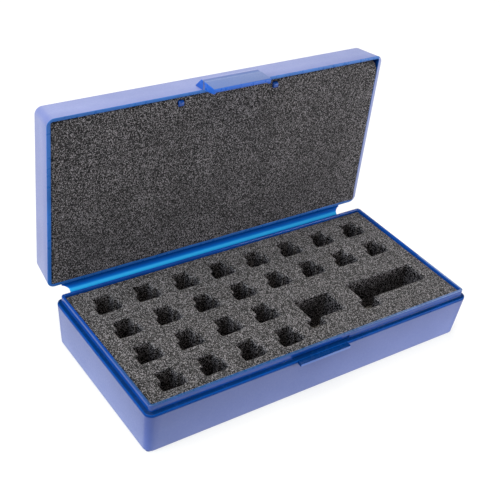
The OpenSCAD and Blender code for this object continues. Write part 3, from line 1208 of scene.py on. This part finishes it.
def lid_foam():
    """The lid's pad: a soft block whose shoulders roll off at the walls.

    It stands a little proud along the hinge and the right end, its front right corner is pulled in,
    and each guide finger leaves a dent."""
    half_x = LID_HALF_W - LID_END_WALL - 0.05
    half_y = LID_HALF_D - LID_WALL - 0.05
    back_z = LID_TOP - PANEL_T - 0.2
    inset = 1.0
    cells_x, cells_y = 150, 74
    points, faces = [], []
    for iy in range(cells_y + 1):
        for ix in range(cells_x + 1):
            u, v = 2 * ix / cells_x - 1, 2 * iy / cells_y - 1
            x = half_x * math.copysign(1 - (1 - abs(u)) ** 1.25, u)
            y = half_y * math.copysign(1 - (1 - abs(v)) ** 1.25, v)
            points.append(pad_face(x, y, half_x, half_y))
    row = cells_x + 1
    for iy in range(cells_y):
        for ix in range(cells_x):
            a = iy * row + ix
            faces.append((a, a + 1, a + row + 1, a + row))
    rim = grid_rim(cells_x, cells_y)
    lower = list(range(len(points), len(points) + len(rim)))
    for i in rim:
        x, y, _ = points[i]
        points.append((x * (1 - inset / half_x), y * (1 - inset / half_y), back_z))
    for i in range(len(rim)):
        j = (i + 1) % len(rim)
        faces.append((rim[j], rim[i], lower[i], lower[j]))
    faces.append(tuple(lower))
    return make_object("foam_pad", points, faces, [PAD_FOAM], None, OPEN_LID, 60)


# ---------------------------------------------------------------- studio


def camera():
    """The camera, at the photograph's viewing angle, with its place in millimetres."""
    place_mm = Vector((-295.34, -347.83, 368.58))
    azimuth, elevation, roll = (math.radians(a) for a in (-38.512, 34.229, 7.469))
    back = Vector((
        math.sin(azimuth) * math.cos(elevation),
        -math.cos(azimuth) * math.cos(elevation),
        math.sin(elevation),
    ))
    right = Vector((math.cos(azimuth), math.sin(azimuth), 0))
    up = back.cross(right)
    turned_right = math.cos(roll) * right + math.sin(roll) * up
    turned_up = math.cos(roll) * up - math.sin(roll) * right
    data = bpy.data.cameras.new("camera")
    data.lens = 71.82
    data.sensor_width = 36
    data.clip_start = 0.01
    cam = bpy.data.objects.new("camera", data)
    turn = Matrix((turned_right, turned_up, back)).transposed().to_4x4()
    cam.matrix_world = Matrix.Translation(place_mm * MM) @ turn
    bpy.context.collection.objects.link(cam)
    bpy.context.scene.camera = cam


def soft_box(name, place_m, aim_m, size, power, colour=(1, 1, 1)):
    """A large area light that points at a place."""
    data = bpy.data.lights.new(name, "AREA")
    data.shape = "RECTANGLE"
    data.size, data.size_y = size
    data.energy = power
    data.color = colour
    light = bpy.data.objects.new(name, data)
    light.location = place_m
    light.rotation_mode = "QUATERNION"
    light.rotation_quaternion = (Vector(aim_m) - Vector(place_m)).to_track_quat("-Z", "Y")
    bpy.context.collection.objects.link(light)
    return light


def studio_floor():
    """The table, which is only part of the stage."""
    edit = bmesh.new()
    bmesh.ops.create_grid(edit, x_segments=8, y_segments=8, size=8.0)
    mesh = bpy.data.meshes.new("studio_floor")
    edit.to_mesh(mesh)
    edit.free()
    mesh.materials.append(floor_material())
    floor = bpy.data.objects.new("studio_floor", mesh)
    floor.location.z = -0.3 * MM
    bpy.context.collection.objects.link(floor)


def studio_world():
    """Weak light from all round, and a pale backdrop where the camera looks past the table."""
    world = bpy.data.worlds.new("studio_world")
    world.use_nodes = True
    nodes, links = world.node_tree.nodes, world.node_tree.links
    ambient = nodes["Background"]
    ambient.inputs["Color"].default_value = (0.95, 0.97, 1.0, 1)
    ambient.inputs["Strength"].default_value = 0.22
    backdrop = nodes.new("ShaderNodeBackground")
    backdrop.inputs["Color"].default_value = (0.80, 0.81, 0.82, 1)
    seen = nodes.new("ShaderNodeLightPath")
    choice = nodes.new("ShaderNodeMixShader")
    links.new(seen.outputs["Is Camera Ray"], choice.inputs["Fac"])
    links.new(ambient.outputs["Background"], choice.inputs[1])
    links.new(backdrop.outputs["Background"], choice.inputs[2])
    links.new(choice.outputs["Shader"], nodes["World Output"].inputs["Surface"])
    bpy.context.scene.world = world
    bpy.context.scene.view_settings.view_transform = "Standard"


def studio_lights():
    """Soft boxes above, at the left and behind, and a small fill at the front right."""
    middle = (0, 0.02, 0.05)
    soft_box("top_light", (-0.15, 0.1, 1.3), middle, (1.3, 1.0), 21, (1.0, 0.95, 0.81))
    soft_box("left_light", (-1.15, -0.08, 0.75), middle, (0.9, 0.9), 17, (0.86, 0.98, 1.0))
    soft_box("back_light", (0.5, 1.2, 0.7), middle, (1.0, 0.6), 6)
    fill = soft_box("right_fill", (0.38, -0.32, 0.12), (0.08, 0, 0.03), (0.25, 0.15), 1.45)
    fill.visible_camera = False


# ---------------------------------------------------------------- assembly

camera()
studio_floor()
studio_world()
studio_lights()

base = base_shell()
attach(base, "base")
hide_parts("base_shell")

tray = tray_foam()
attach(tray, "base")
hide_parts("tray_foam")

for middle in finger_places():
    plug = foam_plug(middle)
    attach(plug, "base")
    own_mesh(plug)

sheet = foam_sheet()
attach(sheet, "base")
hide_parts("foam_floor")

plate = strip()
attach(plate, "strip")
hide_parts("hinge_strip")

OVERLAP = 0.2
ROOT = 0.7
base_film = film(
    "base_film",
    (BASE_LINE.y, BASE_LINE.z - ROOT), (BASE_LINE.y, BASE_LINE.z + NECK + OVERLAP),
)
lid_film = film(
    "lid_film",
    (BASE_LINE.y, CLOSED_LID_LINE.z - NECK - OVERLAP), (BASE_LINE.y, CLOSED_LID_LINE.z + ROOT),
)

lid = lid_shell()
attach(lid, "lid")
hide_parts("lid_shell")

pad = lid_foam()
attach(pad, "lid")
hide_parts("lid_foam")
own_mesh(pad)

latch = latch_flap()
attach(latch, "latch")
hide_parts("latch_flap")
film_piece = latch_film()
